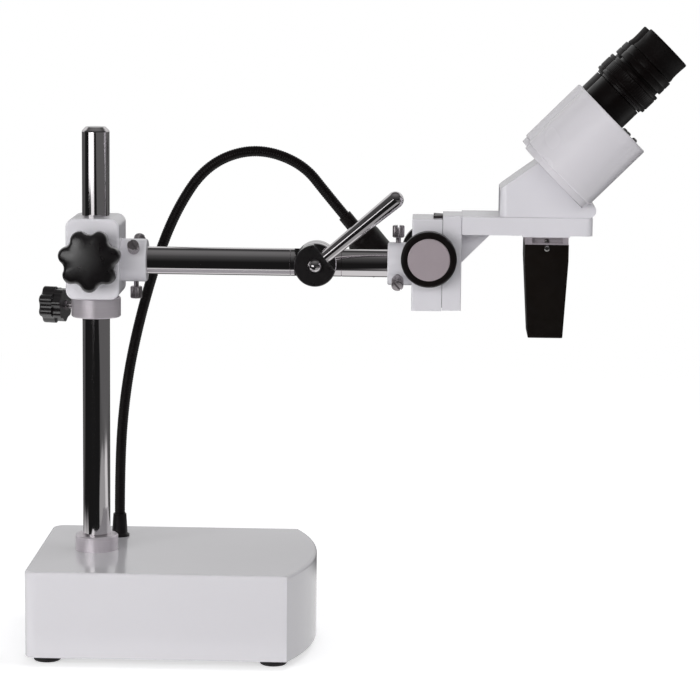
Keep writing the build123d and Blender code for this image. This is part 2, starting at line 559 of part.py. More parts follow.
def porro_pair():
    """Two right-angle prisms, crossed, with their long faces towards each other."""
    def right_angle(leg, width):
        corners = [(0, 0), (leg, leg), (-leg, leg)]
        face = make_face(Plane.XZ * Polyline(*corners, close=True))
        return extrude(face, amount=width / 2, both=True)
    lower = Pos(0, 0, 6) * right_angle(20, 19)
    upper = Pos(0, 6, 50) * Rot(0, 0, 90) * Rot(180, 0, 0) * right_angle(20, 19)
    return [lower, upper]


# ---------------------------------------------------------------- lamp

def neck_path():
    route = [Vector(u, 0, z) for u, z in NECK_ROUTE]
    runs = [(b - a) for a, b in zip(route, route[1:])]
    radii = []
    for before, after in zip(runs, runs[1:]):
        turn = radians(before.get_angle(after))
        radii.append(0.45 * min(before.length, after.length) / tan(turn / 2))
    print("gooseneck radii", [round(r) for r in radii])
    return FilletPolyline(*route, radius=radii)


def make_lamp():
    place = Pos(*LAMP_FOOT, 0) * Rot(0, 0, LAMP_YAW)
    path = neck_path()
    neck = sweep(Plane(path @ 0, z_dir=path % 0) * Circle(NECK_R), path=path)
    print("gooseneck length", round(path.length, 1), "volume check",
          round(neck.volume / (pi * NECK_R ** 2 * path.length), 4))
    parts["gooseneck"] = place * neck

    socket = turned([(NECK_R + 0.1, 77), (NECK_R + 0.1, 94), (5.4, 94), (6.4, 78), (8.0, 76.5),
                     (8.0, BASE_TOP), (4.0, BASE_TOP), (4.0, 60), (0, 60), (0, 77)])
    nut = extrude(RegularPolygon(8, 6), amount=4)
    socket += Pos(0, 0, BASE_TOP - SHEET - 4) * nut
    parts["gooseneck_socket"] = Pos(*LAMP_FOOT, 0) * socket

    end = place * Pos(NECK_ROUTE[-1][0], 0, NECK_ROUTE[-1][1]) * Rot(0, 90 + LAMP_TILT, 0)
    bore = NECK_R + 0.1
    shade = turned([(bore, -9), (5.6, -9), (5.6, 9), (12.4, 12), (14.2, 14), (14.6, 16), (14.6, 44.6),
                    (14.1, 45.4), (13.4, 45.4), (13.4, 14), (0, 14), (0, 0.1), (bore, 0.1)])
    parts["lamp_shade"] = end * shade
    led = turned([(0, 14.2), (13.2, 14.2), (13.2, 39), (11.5, 40), (6.0, 41.3), (0, 41.8)])
    parts["lamp_led"] = end * led


# ---------------------------------------------------------------- build and write

def build_all():
    make_base()
    make_electrics()
    make_column()
    make_stop_collar()
    make_carriage()
    make_thumbscrews()
    make_boom()
    make_lever()
    make_pinion()
    make_focus_block()
    make_slide()
    make_objective()
    make_head_body()
    make_drum("left", -1)
    make_drum("right", 1)
    make_lamp()


build_all()
whole = Compound(children=[p.moved(Location()) for p in parts.values()]).bounding_box()
MID_X = (whole.min.X + whole.max.X) / 2
os.makedirs("parts", exist_ok=True)
for name, shape in parts.items():
    export_step(shape.moved(Location((-MID_X, 0, 0))), f"parts/{name}.step")
print("nodes", len(parts), "shifted along X by", round(-MID_X, 3))
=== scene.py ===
import json
import math

import bmesh
import bpy
from mathutils import Matrix, Vector


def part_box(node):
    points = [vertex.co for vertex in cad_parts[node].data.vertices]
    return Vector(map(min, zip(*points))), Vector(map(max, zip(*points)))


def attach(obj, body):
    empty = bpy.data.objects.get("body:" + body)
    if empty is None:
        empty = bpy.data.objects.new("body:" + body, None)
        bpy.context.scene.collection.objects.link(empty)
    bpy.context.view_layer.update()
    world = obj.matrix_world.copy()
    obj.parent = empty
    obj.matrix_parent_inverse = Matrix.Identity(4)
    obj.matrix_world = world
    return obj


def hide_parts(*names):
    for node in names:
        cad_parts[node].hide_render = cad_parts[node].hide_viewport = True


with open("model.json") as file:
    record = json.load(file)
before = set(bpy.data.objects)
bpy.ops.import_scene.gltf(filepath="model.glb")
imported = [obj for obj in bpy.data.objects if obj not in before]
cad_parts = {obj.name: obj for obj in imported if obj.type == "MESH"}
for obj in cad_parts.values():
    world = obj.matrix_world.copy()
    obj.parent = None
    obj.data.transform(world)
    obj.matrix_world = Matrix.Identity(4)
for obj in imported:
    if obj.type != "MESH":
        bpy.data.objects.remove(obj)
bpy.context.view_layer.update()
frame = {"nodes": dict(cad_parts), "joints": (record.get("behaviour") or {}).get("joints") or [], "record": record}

# Looks of the stereo microscope. X runs along the boom to the eyepieces, -Y faces the camera, and
# everything is in metres. Sizes marked mm are turned into metres where they are used.
MM = 0.001
nodes = frame["nodes"]
joints = {joint["name"]: joint for joint in frame["joints"]}


# ---------------------------------------------------------------- materials

class Material:
    """A Principled material with short calls for its procedural detail."""

    def __init__(self, name):
        self.material = bpy.data.materials.new(name)
        self.material.use_nodes = True
        self.tree = self.material.node_tree
        self.shader = self.tree.nodes["Principled BSDF"]
        self.place = self.add("ShaderNodeTexCoord").outputs["Object"]

    def add(self, kind, **settings):
        node = self.tree.nodes.new(kind)
        for key, value in settings.items():
            setattr(node, key, value)
        return node

    def link(self, source, target):
        self.tree.links.new(source, target)

    def set(self, **values):
        for key, value in values.items():
            self.shader.inputs[key.replace("_", " ")].default_value = value
        return self

    def noise(self, scale, detail=3.0, roughness=0.5, stretch=(1, 1, 1)):
        """Noise with the given number of cells to a metre, stretched along the row's axes."""
        mapping = self.add("ShaderNodeMapping")
        mapping.inputs["Scale"].default_value = stretch
        self.link(self.place, mapping.inputs["Vector"])
        texture = self.add("ShaderNodeTexNoise")
        texture.inputs["Scale"].default_value = scale
        texture.inputs["Detail"].default_value = detail
        texture.inputs["Roughness"].default_value = roughness
        self.link(mapping.outputs["Vector"], texture.inputs["Vector"])
        return texture.outputs["Fac"]

    def rings(self, centre, scale, distortion=0.4):
        """Turning marks: rings around the Y axis through a centre."""
        mapping = self.add("ShaderNodeMapping")
        mapping.inputs["Location"].default_value = [-c for c in centre]
        self.link(self.place, mapping.inputs["Vector"])
        wave = self.add("ShaderNodeTexWave", wave_type="RINGS", rings_direction="Y")
        wave.inputs["Scale"].default_value = scale
        wave.inputs["Distortion"].default_value = distortion
        wave.inputs["Detail"].default_value = 2.0
        self.link(mapping.outputs["Vector"], wave.inputs["Vector"])
        return wave.outputs["Fac"]

    def span(self, factor, low, high):
        """Spread a 0..1 factor between two values."""
        spread = self.add("ShaderNodeMapRange")
        spread.inputs["From Min"].default_value = 0.3
        spread.inputs["From Max"].default_value = 0.7
        spread.inputs["To Min"].default_value = low
        spread.inputs["To Max"].default_value = high
        self.link(factor, spread.inputs["Value"])
        return spread.outputs["Result"]

    def colours(self, factor, first, second, low=0.35, high=0.65):
        ramp = self.add("ShaderNodeValToRGB")
        ramp.color_ramp.elements[0].position = low
        ramp.color_ramp.elements[1].position = high
        ramp.color_ramp.elements[0].color = (*first, 1)
        ramp.color_ramp.elements[1].color = (*second, 1)
        self.link(factor, ramp.inputs["Fac"])
        self.link(ramp.outputs["Color"], self.shader.inputs["Base Color"])
        return self

    def roughness(self, factor, low, high):
        self.link(self.span(factor, low, high), self.shader.inputs["Roughness"])
        return self

    def bumps(self, *layers, edge=0.0):
        """Each layer is (height factor, depth in mm); edge rounds sharp corners by that many mm."""
        normal = None
        if edge:
            soft = self.add("ShaderNodeBevel", samples=4)
            soft.inputs["Radius"].default_value = edge * MM
            normal = soft.outputs["Normal"]
        for factor, depth in layers:
            bump = self.add("ShaderNodeBump")
            bump.inputs["Distance"].default_value = depth * MM
            self.link(factor, bump.inputs["Height"])
            if normal:
                self.link(normal, bump.inputs["Normal"])
            normal = bump.outputs["Normal"]
        self.link(normal, self.shader.inputs["Normal"])
        return self


def srgb(red, green, blue):
    """A colour given as the eye sees it, 0 to 255, in the shader's linear values."""
    def linear(value):
        value /= 255
        return value / 12.92 if value <= 0.04045 else ((value + 0.055) / 1.055) ** 2.4
    return tuple(linear(v) for v in (red, green, blue))


def enamel(name, tint, gloss, edge):
    """Baked white enamel: a faint orange peel, cloudy tone and a few pin-sized specks."""
    m = Material(name)
    cloud, peel, fine = m.noise(5, 1), m.noise(420, 2), m.noise(2600, 2)
    darker = tuple(c * 0.985 for c in tint)
    m.colours(cloud, darker, tint, 0.1, 0.9)
    m.roughness(m.noise(25, 1), gloss, gloss + 0.015)
    m.set(Specular_IOR_Level=0.5, Coat_Weight=0.35, Coat_Roughness=0.06)
    m.bumps((peel, 0.035), (fine, 0.006), edge=edge)
    return m.material


def chrome(name, tone=0.74, rough=0.05, stretch=(1, 1, 1)):
    """Plated steel: bright, with faint smears and drawing marks along the bar."""
    m = Material(name)
    m.set(Metallic=1.0)
    m.colours(m.noise(14), (tone * 0.95, tone * 0.91, tone * 0.93), (tone, tone * 0.96, tone * 0.98))
    m.roughness(m.noise(90, 5, stretch=stretch), rough * 0.7, rough * 1.6)
    m.bumps((m.noise(1500, 2, stretch=stretch), 0.0015))
    return m.material


def turned_metal(name, colour, rough, stretch, depth=0.012, metallic=1.0, contrast=0.14):
    """Machined metal with fine marks left by the lathe."""
    m = Material(name)
    m.set(Metallic=metallic)
    marks = m.noise(700, 2, stretch=stretch)
    m.colours(marks, tuple(c * (1 - contrast) for c in colour), colour)
    m.roughness(m.noise(40, 1), rough * 0.92, rough * 1.08)
    m.bumps((marks, depth), edge=0.15)
    return m.material


def moulded(name, colour, rough, grain=0.02, cells=1400, coat=0.0, specular=0.32):
    """Moulded plastic, lacquer or rubber with a fine grain and cloudy tone."""
    m = Material(name)
    m.colours(m.noise(45, 4), tuple(c * 0.85 for c in colour), tuple(c * 1.15 for c in colour))
    m.roughness(m.noise(160, 4), rough * 0.85, rough * 1.15)
    m.set(Coat_Weight=coat, Coat_Roughness=0.2, Specular_IOR_Level=specular)
    m.bumps((m.noise(cells, 3), grain), edge=0.2)
    return m.material


def satin_disc(name, colour, centre):
    """The focus knob's satin cap, with rings from turning."""
    m = Material(name)
    m.set(Metallic=0.55)
    ring = m.rings(centre, 900)
    m.colours(ring, tuple(c * 0.94 for c in colour), colour, 0.1, 0.9)
    m.roughness(m.noise(200, 3), 0.42, 0.52)
    m.bumps((ring, 0.004), (m.noise(1800, 2), 0.006))
    return m.material


def coated_glass(name, tint):
    """Optical glass with the faint tint of its coating and a little dust."""
    m = Material(name)
    m.colours(m.noise(30), tint, tuple(min(1, c * 1.06) for c in tint))
    m.roughness(m.noise(400, 4), 0.0, 0.05)
    m.set(Transmission_Weight=1.0, IOR=1.52, Coat_Weight=0.6, Coat_Tint=(0.62, 0.5, 0.95, 1))
    return m.material


def circuit_board(name):
    m = Material(name)
    m.colours(m.noise(240, 2), srgb(12, 70, 36), srgb(20, 96, 52), 0.46, 0.54)
    m.roughness(m.noise(300), 0.35, 0.5)
    m.bumps((m.noise(500, 2), 0.03))
    return m.material


ALONG_X, ALONG_Z, ROUND_Z = (0.03, 1, 1), (1, 1, 0.03), (0.05, 0.05, 3)
focus_centre = Vector(joints["focus_knob_turn"]["pos_m"])

looks = {
    "base_paint": enamel("white_enamel_base", srgb(228, 226, 230), 0.16, 0.5),
    "cast_enamel": enamel("white_enamel_castings", srgb(226, 224, 229), 0.24, 0.6),
    "drum_enamel": enamel("white_enamel_drums", srgb(222, 219, 224), 0.26, 0.4),
    "plate_steel": turned_metal("ground_steel_plate", srgb(120, 120, 122), 0.45, (1, 0.03, 1)),
    "foot_rubber": moulded("foot_rubber", srgb(30, 28, 30), 0.62, 0.05, 900),
    "zinc_screws": turned_metal("zinc_plated_steel", srgb(190, 188, 186), 0.25, (1, 1, 1)),
    "turned_aluminium": turned_metal("turned_aluminium", srgb(222, 215, 221), 0.3, ROUND_Z, 0.003,
                                     metallic=0.6, contrast=0.05),
    "circuit_board": circuit_board("circuit_board"),
    "fittings_black": moulded("black_fittings", srgb(16, 15, 16), 0.42),
    "button_black": moulded("black_button", srgb(22, 22, 23), 0.3, coat=0.3),
    "lamp_socket_black": moulded("black_lamp_socket", srgb(15, 12, 13), 0.36, coat=0.2),
    "chrome_bar": chrome("chrome_bars", stretch=ALONG_X),
    "knob_gloss": moulded("black_knob_plastic", srgb(14, 10, 12), 0.31, 0.006, 1800, coat=0.9,
                          specular=0.9),
    "screw_nickel": turned_metal("nickel_screws", srgb(172, 166, 169), 0.2, (1, 1, 1), 0.006,
                                 metallic=0.9),
    "rack_brass": turned_metal("bushing_brass", srgb(205, 172, 100), 0.3, (1, 3, 1)),
    "pinion_steel": turned_metal("pinion_steel", srgb(176, 175, 178), 0.25, (1, 3, 1)),
    "focus_knob_black": moulded("focus_knob_black", srgb(14, 9, 9), 0.36, coat=0.15),
    "knob_cap_satin": satin_disc("satin_knob_cap", srgb(203, 190, 196), focus_centre),
    "objective_grey": turned_metal("grey_objective_metal", srgb(176, 168, 174), 0.34, (1, 1, 2), 0.01,
                                   metallic=0.3),
    "objective_black": moulded("black_objective_paint", srgb(17, 12, 9), 0.36, 0.02, 1500, coat=0.1),
    "coated_glass": coated_glass("coated_glass", srgb(214, 222, 236)),
    "eyepiece_black": moulded("black_eyepiece_anodise", srgb(7, 3, 3), 0.36, 0.004, 2000),
    "eyecup_rubber": moulded("eyecup_rubber", srgb(8, 4, 4), 0.6, 0.008, 1300),
    "gooseneck_black": moulded("gooseneck_black", srgb(13, 8, 9), 0.42, 0.015, 1500),
    "shade_black": moulded("black_lamp_shade", srgb(15, 10, 10), 0.38, 0.015, 1500),
    "lamp_lens": coated_glass("lamp_lens", srgb(236, 236, 224)),
}

for entry in frame["record"]["subparts"]:
    node = nodes[entry["node"]]
    for index in range(len(node.material_slots)):
        node.material_slots[index].material = looks[entry["material_slot"]]
nodes["column"].material_slots[0].material = chrome("chrome_column", stretch=ALONG_Z)
nodes["rack_slide"].material_slots[0].material = turned_metal("blackened_brass_rack", srgb(84, 80, 80),
                                                              0.38, (1, 1, 0.05))


# ---------------------------------------------------------------- mesh helpers

def axis_frame(joint_name, flip=False):
    """A frame with its origin on a joint's axis and Z along it, as positions and sizes in mm."""
    joint = joints[joint_name]
    z = Vector(joint["axis"]).normalized() * (-1 if flip else 1)
    side = Vector((0, 1, 0)) if abs(z.y) < 0.9 else Vector((1, 0, 0))
    x = (side - z * side.dot(z)).normalized()
    turn = Matrix((x, z.cross(x), z)).transposed().to_4x4()
    return Matrix.Translation(joint["pos_m"]) @ turn @ Matrix.Scale(MM, 4)


def soften(profile, radius, steps=3):
    """Round the corners of a closed (radius, height) profile; corners on the axis stay."""
    out = []
    count = len(profile)
    for i, corner in enumerate(profile):
        here = Vector(corner)
        before, after = Vector(profile[i - 1]) - here, Vector(profile[(i + 1) % count]) - here
        cut = min(radius, 0.45 * before.length, 0.45 * after.length)
        if corner[0] < 0.01 or cut < 0.01:
            out.append(here)
            continue
        a, b = here + before.normalized() * cut, here + after.normalized() * cut
        for step in range(steps + 1):
            t = step / steps
            out.append(a * (1 - t) ** 2 + here * 2 * t * (1 - t) + b * t ** 2)
    return [tuple(p) for p in out]


def turned_mesh(profile, segments, shape=None):
    """A mesh turned about Z from a closed profile; shape(r, z, angle) gives a changed radius."""
    mesh = bmesh.new()
    rings = []
    for r, z in profile:
        ring = []
        for s in range(segments):
            angle = 2 * math.pi * s / segments
            radius = shape(r, z, angle) if shape else r
            ring.append(mesh.verts.new((radius * math.cos(angle), radius * math.sin(angle), z)))
        rings.append(ring)
    for i, ring in enumerate(rings):
        following = rings[(i + 1) % len(rings)]
        for s in range(segments):
            t = (s + 1) % segments
            corners = (ring[s], ring[t], following[t], following[s])
            mesh.faces.new(corners)
    bmesh.ops.remove_doubles(mesh, verts=mesh.verts, dist=1e-4)
    bmesh.ops.dissolve_degenerate(mesh, edges=mesh.edges, dist=1e-4)
    bmesh.ops.recalc_face_normals(mesh, faces=mesh.faces)
    return mesh


def knurl(count, depth, low, high, outer):
    """Straight grooves around a grip between two heights, on what lies beyond a radius."""
    def shape(r, z, angle):
        if low < z < high and r > outer:
            return r - depth * (0.5 - 0.5 * math.cos(count * angle))
        return r
    return shape


def finish_piece(name, mesh, place, body, slot, replaced=(), sharp=40):
    """Put a mesh built in mm in its place, give it a look, and let it ride on a body."""
    mesh.transform(place)
    data = bpy.data.meshes.new(name)
    mesh.to_mesh(data)
    mesh.free()
    for polygon in data.polygons:
        polygon.use_smooth = True
    data.set_sharp_from_angle(angle=math.radians(sharp))
    data.materials.append(looks[slot])
    piece = bpy.data.objects.new(name, data)
    bpy.context.scene.collection.objects.link(piece)
    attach(piece, body)
    if replaced:
        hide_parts(*replaced)
    return piece


def cut_away(piece, cutter_mesh, place):
    """Cut a closed mesh out of a piece for good."""
    cutter_mesh.transform(place)
    data = bpy.data.meshes.new("cutter")
    cutter_mesh.to_mesh(data)
    cutter_mesh.free()
    cutter = bpy.data.objects.new("cutter", data)
    bpy.context.scene.collection.objects.link(cutter)
    modifier = piece.modifiers.new("cut", "BOOLEAN")
    modifier.operation = "DIFFERENCE"
    modifier.solver = "EXACT"
    modifier.object = cutter
    graph = bpy.context.evaluated_depsgraph_get()
    result = bpy.data.meshes.new_from_object(piece.evaluated_get(graph))
    piece.modifiers.clear()
    piece.data = result
    result.set_sharp_from_angle(angle=math.radians(40))
    bpy.data.objects.remove(cutter)


def block_mesh(size, centre):
    mesh = bmesh.new()
    bmesh.ops.create_cube(mesh, size=1)
    mesh.transform(Matrix.Translation(centre) @ Matrix.Diagonal((*size, 1)))
    return mesh


# ---------------------------------------------------------------- thumbscrews

def build_thumbscrews():
    """Slotted, knurled nickel screws: the stem and head of each are one turned piece."""
    profile = [(0, 11.2), (2, 11.2), (2, 21), (4.15, 21), (4.75, 21.6), (4.75, 30), (4.15, 30.6),
               (0, 30.6)]
    for group, body in (("boom", "carriage"), ("head", "focus_unit")):
        for side in ("bottom", "left", "right", "top"):
            name = f"{group}_screw_{side}"
            if name not in nodes:
                continue
            place = axis_frame(f"{name}_turn")
            mesh = turned_mesh(soften(profile, 0.25, 2), 144, knurl(24, 0.32, 21.4, 30.2, 4.2))
            piece = finish_piece(f"{name}_knurled", mesh, place, name, "screw_nickel", (name,))
            slot_angle = {"left": 35, "top": 0}.get(side, 70)
            turn = Matrix.Rotation(math.radians(slot_angle), 4, "Z")
            cut_away(piece, block_mesh((14, 1.4, 3.0), (0, 0, 30.1)), place @ turn)


# ---------------------------------------------------------------- clamp knob

KNOB_R, KNOB_VALLEY, KNOB_LOBES, KNOB_TURN = 25.0, 20.6, 7, 13.0
LOBE_R = 0.28 * KNOB_R


def star_radius(angle):
    """The knob's outline: round lobes joined by tangent hollows, as a distance from its axis."""
    half = math.pi / KNOB_LOBES
    lobe_d = KNOB_R - LOBE_R
    cosine = math.cos(half)
    hollow_r = ((lobe_d ** 2 + KNOB_VALLEY ** 2 - 2 * lobe_d * KNOB_VALLEY * cosine - LOBE_R ** 2)
                / (2 * LOBE_R + 2 * lobe_d * cosine - 2 * KNOB_VALLEY))
    hollow_d = KNOB_VALLEY + hollow_r
    lobe = Vector((lobe_d, 0))
    hollow = Vector((hollow_d * cosine, hollow_d * math.sin(half)))
    join = lobe + (hollow - lobe).normalized() * LOBE_R
    turn = abs((angle + half) % (2 * half) - half)
    if turn < math.atan2(join.y, join.x):
        return lobe_d * math.cos(turn) + math.sqrt(LOBE_R ** 2 - (lobe_d * math.sin(turn)) ** 2)
    turn = half - turn
    return hollow_d * math.cos(turn) - math.sqrt(hollow_r ** 2 - (hollow_d * math.sin(turn)) ** 2)


def build_clamp_knob():
    """The large clamp knob: lobed rim, softly domed face, a hub behind and a steel stud."""
    levels = [(0.0, 0.0), (0.90, 0.0), (0.965, 0.4), (1.0, 1.5), (1.0, 5.0), (1.0, 8.4), (0.993, 9.6),
              (0.972, 10.7), (0.94, 11.6), (0.9, 12.2), (0.83, 12.85), (0.74, 13.35), (0.62, 13.8),
              (0.48, 14.15), (0.33, 14.35), (0.17, 14.46), (0.0, 14.5)]
    mid = (KNOB_R + KNOB_VALLEY) / 2

    def shape(r, z, angle):
        inward = min(1.0, max(0.0, (1 - r / mid) / 0.5)) if z > 9 else 0.0
        return r * ((1 - inward) * star_radius(angle) / mid + inward)
    place = axis_frame("carriage_knob_turn")
    mesh = turned_mesh([(s * mid, z) for s, z in levels], 7 * 36, shape)
    turned = place @ Matrix.Rotation(math.radians(KNOB_TURN), 4, "Z")
    finish_piece("clamp_knob_star", mesh, turned, "carriage_knob", "knob_gloss", ("carriage_knob",), 50)
    hub = [(4.1, -8), (10.6, -8), (11.2, -7.4), (12.8, -0.6), (12.8, 0.2), (4.1, 0.2)]
    finish_piece("clamp_knob_hub", turned_mesh(soften(hub, 0.4), 72), place, "carriage_knob",
                 "knob_gloss")
    stud = [(0, -25.6), (3.3, -25.6), (4, -24.9), (4, 0), (0, 0)]
    finish_piece("clamp_knob_stud", turned_mesh(stud, 48), place, "carriage_knob", "screw_nickel")


# ---------------------------------------------------------------- focus knobs

def build_focus_knobs():
    """The two large focus wheels, with a fine straight knurl around the rim."""
    profile = [(3.05, 21.6), (9, 21.6), (10, 24.5), (20.2, 24.5), (21.9, 26), (22, 36.6), (20.8, 38),
               (16.8, 38), (16.8, 36.8), (3.05, 36.8)]
    for side, flip in (("left", True), ("right", False)):
        mesh = turned_mesh(soften(profile, 0.5), 384, knurl(96, 0.22, 26.2, 36.2, 21))
        finish_piece(f"{side}_focus_wheel", mesh, axis_frame("focus_knob_turn", flip), "focus_pinion",
                     "focus_knob_black", ("focus_knobs",))


# ---------------------------------------------------------------- eyepieces

def build_eyepieces():
    """Knurled diopter rings, the eyepiece barrels' grip and the soft rubber eyecups."""
    ring = [(17.58, 17.4), (20.2, 17.4), (20.4, 19.2), (22.0, 19.6), (22.4, 20.2), (22.4, 21.8),
            (21.9, 22.2), (21.9, 22.9), (22.4, 23.3), (22.4, 31.8), (21.9, 32.2), (21.9, 32.9),
            (22.4, 33.3), (22.4, 35.1), (21.9, 35.7), (19.4, 35.7), (19.4, 41.2), (17.58, 41.2)]
    barrel = [(12.05, 6), (15, 6), (15, 44), (19.7, 44), (19.7, 38.4), (21.1, 38.4), (21.4, 38.9),
              (21.4, 43.4), (21.0, 43.9), (21.0, 44.5), (21.3, 44.9), (21.3, 49.7), (20.9, 50.3),
              (17.6, 50.3), (17.6, 56), (13.5, 56), (13.5, 51.8), (12.05, 51.8)]
    cup = [(17.6, 50.5), (19.9, 50.5), (20.2, 51.3), (20.1, 53.0), (19.7, 54.6), (19.5, 58),
           (19.6, 62), (19.9, 66.5), (19.9, 68.4), (19.4, 69), (18.3, 68.9), (17.5, 68),
           (16.4, 63), (15.0, 56.4), (17.6, 56.2)]
    for side in ("left", "right"):
        place = axis_frame(f"{side}_diopter_turn")
        mesh = turned_mesh(soften(ring, 0.2, 2), 360, knurl(72, 0.2, 23.4, 31.7, 22.1))
        finish_piece(f"{side}_diopter_grip", mesh, place, f"{side}_diopter_ring", "eyepiece_black",
                     (f"{side}_diopter_ring",))
        mesh = turned_mesh(soften(barrel, 0.2, 2), 240, knurl(60, 0.16, 39.2, 42.4, 21.2))
        finish_piece(f"{side}_eyepiece_barrel", mesh, place, f"{side}_eyepiece", "eyepiece_black",
                     (f"{side}_eyepiece",))
        mesh = turned_mesh(soften(cup, 0.5, 3), 96)
        finish_piece(f"{side}_eyecup_rubber", mesh, place, f"{side}_eyepiece", "eyecup_rubber",
                     (f"{side}_eyecup",), 60)


def build_drum_screws():
    """Two pan-head screws near the rim of each drum's upper end."""
    head = [(0, 0), (2.3, 0), (2.4, 0.7), (1.9, 1.5), (0.9, 1.9), (0, 1.95)]
    seat, from_axis, angles = 59.45, 27.5, (200, 228)
    for side in ("left", "right"):
        drum_top = axis_frame(f"{side}_drum_turn") @ Matrix.Translation((0, 0, seat))
        for index, angle in enumerate(angles):
            spot = Matrix.Rotation(math.radians(angle), 4, "Z") @ Matrix.Translation((from_axis, 0, 0))
            mesh = turned_mesh(soften(head, 0.3, 2), 32)
            piece = finish_piece(f"{side}_drum_screw_{index}", mesh, drum_top @ spot, f"{side}_drum",
                                 "zinc_screws")
            cut_away(piece, block_mesh((6, 0.6, 1.6), (0, 0, 2.0)), drum_top @ spot)


def build_drum_skirts():
    """A wall under each drum, set back a little and open where the drums' carrier passes through."""
    inner, outer, low, high, bevel = 30.6, 32.6, -4.9, 0.4, 0.3
    open_half, steps = 62, 96
    for side, opening in (("left", 0), ("right", 180)):
        mesh = bmesh.new()
        slices = []
        for step in range(steps + 1):
            angle = math.radians(opening + open_half + (360 - 2 * open_half) * step / steps)
            corners = ((inner, low + bevel), (inner + bevel, low), (outer - bevel, low),
                       (outer, low + bevel), (outer, high), (inner, high))
            slices.append([mesh.verts.new((r * math.cos(angle), r * math.sin(angle), z))
                           for r, z in corners])
        for first, second in zip(slices, slices[1:]):
            for i in range(len(first)):
                j = (i + 1) % len(first)
                mesh.faces.new((first[i], first[j], second[j], second[i]))
        mesh.faces.new(slices[0])
        mesh.faces.new(slices[-1])
        bmesh.ops.recalc_face_normals(mesh, faces=mesh.faces)
        finish_piece(f"{side}_drum_skirt", mesh, axis_frame(f"{side}_drum_turn"), f"{side}_drum",
                     "drum_enamel")


def build_mount_screws():
    """A second small screw in each recess of the objective's mount, over the housing's screw."""
    head = [(0, 0), (2.0, 0), (2.1, 0.5), (1.5, 1.2), (0, 1.5)]
    recess, below_top = 4.3, 3.4
    low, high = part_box("objective_mount")
    screw_low, screw_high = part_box("objective_screws")
    middle = (screw_low[0] + screw_high[0]) / 2
    for name, side in (("left", -1), ("right", 1)):
        floor = (low[1] if side < 0 else high[1]) - side * recess * MM
        spot = Matrix.Translation((middle, floor, high[2] - below_top * MM))
        spot = spot @ Matrix.Rotation(math.radians(-90 * side), 4, "X") @ Matrix.Scale(MM, 4)
        mesh = turned_mesh(soften(head, 0.25, 2), 32)
        piece = finish_piece(f"{name}_mount_screw", mesh, spot, "focus_slide", "zinc_screws")
        cut_away(piece, block_mesh((5, 0.6, 1.2), (0, 0, 1.6)), spot)


# ---------------------------------------------------------------- gooseneck

# the centreline's corners as in the CAD: distance from the foot and height, in mm
NECK_ROUTE = [(0, 77.5), (0, 132), (3.5, 187), (12.5, 240), (28.5, 300), (46.5, 347),
              (71.5, 384), (109.5, 398), (148.5, 386), (171, 358), (189.5, 336)]
NECK_YAW = 3.4
NECK_RADIUS = 4.3
RIB_PITCH, RIB_DEPTH = 1.9, 0.28


def neck_line():
    """Points along the smooth centreline of the gooseneck, in metres."""
    foot = Vector(joints["lamp_swing"]["pos_m"])
    curve = bpy.data.curves.new("neck_line", "CURVE")
    curve.dimensions = "3D"
    curve.resolution_u = 24
    spline = curve.splines.new("NURBS")
    spline.points.add(len(NECK_ROUTE) - 1)
    yaw = math.radians(NECK_YAW)
    for point, (out, height) in zip(spline.points, NECK_ROUTE):
        point.co = (foot.x + out * MM * math.cos(yaw), foot.y + out * MM * math.sin(yaw),
                    height * MM, 1)
    spline.order_u = 3
    spline.use_endpoint_u = True
    holder = bpy.data.objects.new("neck_line", curve)
    bpy.context.scene.collection.objects.link(holder)
    graph = bpy.context.evaluated_depsgraph_get()
    line = [v.co.copy() for v in bpy.data.meshes.new_from_object(holder.evaluated_get(graph)).vertices]
    bpy.data.objects.remove(holder)
    return line


def along(line, spacing):
    """Even steps along a polyline, as (point, direction, distance)."""
    lengths = [0.0]
    for a, b in zip(line, line[1:]):
        lengths.append(lengths[-1] + (b - a).length)
    steps = max(2, round(lengths[-1] / spacing))
    out, k = [], 0
    for i in range(steps + 1):
        want = lengths[-1] * i / steps
        while k < len(line) - 2 and lengths[k + 1] < want:
            k += 1
        part = (want - lengths[k]) / (lengths[k + 1] - lengths[k])
        out.append((line[k].lerp(line[k + 1], part), (line[k + 1] - line[k]).normalized(), want))
    return out


def build_gooseneck():
    """The wound flexible arm: a tube whose surface carries one long shallow spiral."""
    sides, steps_per_rib = 20, 6
    mesh = bmesh.new()
    rings, side = [], Vector((0, 1, 0))
    stations = along(neck_line(), RIB_PITCH * MM / steps_per_rib)
    for point, forward, distance in stations:
        side = (side - forward * side.dot(forward)).normalized()
        up = forward.cross(side)
        ring = []
        for s in range(sides):
            angle = 2 * math.pi * s / sides
            wave = math.cos(2 * math.pi * distance / (RIB_PITCH * MM) + angle)
            radius = (NECK_RADIUS - RIB_DEPTH * (0.5 - 0.5 * wave) ** 3) * MM
            outward = side * math.cos(angle) + up * math.sin(angle)
            ring.append(mesh.verts.new(point + outward * radius))
        rings.append(ring)
    for ring, following in zip(rings, rings[1:]):
        for s in range(sides):
            t = (s + 1) % sides
            mesh.faces.new((ring[s], ring[t], following[t], following[s]))
    mesh.faces.new(rings[0])
    mesh.faces.new(rings[-1])
    bmesh.ops.recalc_face_normals(mesh, faces=mesh.faces)
    finish_piece("gooseneck_spiral", mesh, Matrix.Identity(4), "lamp", "gooseneck_black",
                 ("gooseneck",), 80)


# ---------------------------------------------------------------- stage

FLOOR_SIZE = 14.0
AMBIENT = 0.12               # plain light from all round, for everything but polished metal
FLOOR_GLOW = 0.56            # lifts the lit floor near the object towards white
# what polished metal sees in the floor: how bright each part of the room is
ROOM_DARK, ROOM_GREY, ROOM_BACK, ROOM_RIGHT, TABLE_GLOW, SPOT_GLOW = 0.012, 0.1, 0.1, 0.13, 0.8, 0.4
SPOT_PLACE = (0.30, -0.32, 0)
